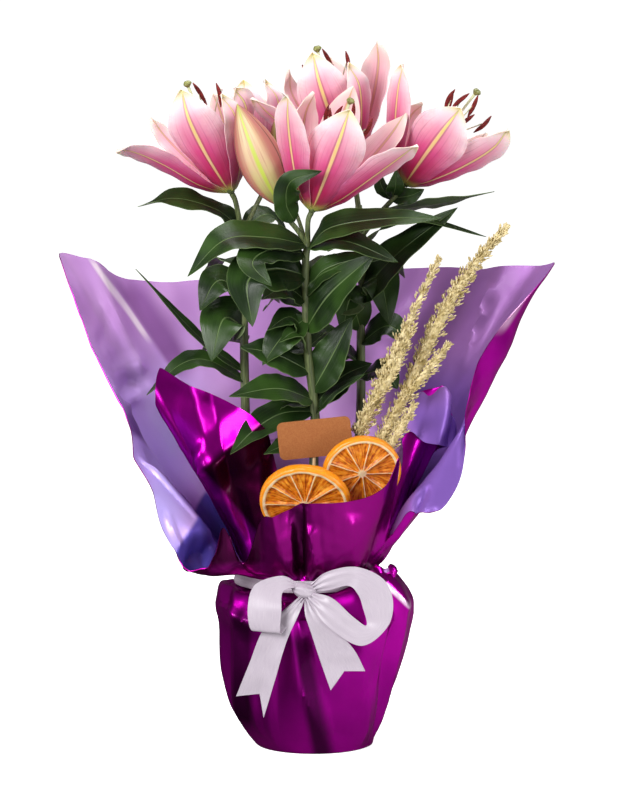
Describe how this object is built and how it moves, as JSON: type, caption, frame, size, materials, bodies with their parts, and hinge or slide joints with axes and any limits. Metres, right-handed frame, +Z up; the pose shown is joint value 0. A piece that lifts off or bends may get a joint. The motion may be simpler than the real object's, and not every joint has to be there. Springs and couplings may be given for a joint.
{
  "type": "potted lily in florist's wrapping",
  "caption": "Potted pink lily with half-open blooms and buds, in bicolour film tied with a satin bow, with dried orange slices, dried spikes and a blank card.",
  "frame": {"origin": "centre of the flat base that the pot and its bag rest on", "axes": "+Z up, +X to the right and +Y to the back, seen from the front of the wrapping, where the bow is"},
  "size_m": [0.4156, 0.2255, 0.595],
  "materials": {
    "pot": "matt dark nursery-pot plastic",
    "soil": "moist crumbly potting soil",
    "bulb": "dry pale bulb scales",
    "leaf": "smooth dark green, soft gloss, lighter midribs",
    "tepal": "velvety pink with pale margins and yellow-green midribs",
    "stamens": "pale green filaments and red-brown anthers",
    "bud": "green and pink, soft gloss",
    "amaranth": "dried, dull pale yellow-green",
    "orange": "dried, translucent amber flesh and brown-orange peel",
    "pick": "plain wooden pick",
    "card": "plain kraft card",
    "film": "satin magenta outside and lilac inside",
    "ribbon": "white satin"
  },
  "bodies": {
    "root": {"pot": "pot", "soil": "soil", "bulb_front": "bulb", "bulb_left": "bulb", "bulb_right": "bulb", "leafy_stem_front": "leaf", "leafy_stem_left": "leaf", "leafy_stem_right": "leaf", "bud_large": "bud", "bud_small": "bud", "amaranth_left": "amaranth", "amaranth_right": "amaranth", "amaranth_short": "amaranth", "orange_slice_front": "orange", "orange_slice_back": "orange", "orange_pick_front": "pick", "orange_pick_back": "pick", "card_pick": "pick", "kraft_card": "card", "film_outer": "film", "film_inner": "film", "ribbon_band": "ribbon", "ribbon_bow": "ribbon", "bloom_1": "tepal", "stamens_1": "stamens", "bloom_2": "tepal", "stamens_2": "stamens", "bloom_3": "tepal", "stamens_3": "stamens", "bloom_4": "tepal", "stamens_4": "stamens", "bloom_5": "tepal", "stamens_5": "stamens"}
  },
  "joints": []
}
